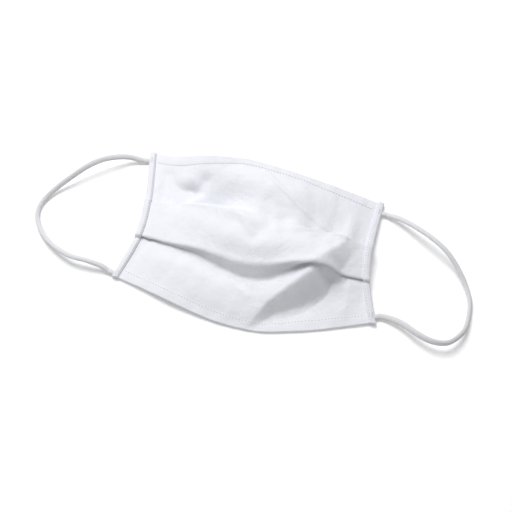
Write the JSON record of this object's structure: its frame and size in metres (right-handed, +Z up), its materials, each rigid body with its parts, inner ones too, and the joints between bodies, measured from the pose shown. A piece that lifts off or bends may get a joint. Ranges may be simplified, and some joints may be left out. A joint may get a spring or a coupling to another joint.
{
  "type": "cloth face mask",
  "caption": "White pleated cloth face mask with stitched hems, folded side strips and soft elastic ear loops, lying outer face up with its dome open.",
  "frame": {"origin": "on the table under the middle of the mask's cloth, the ear loops left out of the count", "axes": "+X along the mask from its left side to its right side as pictured, +Y to its top hem, +Z up from the table"},
  "size_m": [0.2942, 0.117, 0.0257],
  "materials": {
    "cotton": "fine plain woven white cotton, matt, with a soft sheen",
    "strip_cotton": "the same white cotton, folded double and stitched",
    "elastic": "soft white knitted elastic, ribbed lengthwise"
  },
  "bodies": {
    "root": {"mask_body": "cotton", "side_hem_left": "strip_cotton", "side_hem_right": "strip_cotton", "ear_loop_left": "elastic", "ear_loop_right": "elastic"}
  },
  "joints": []
}
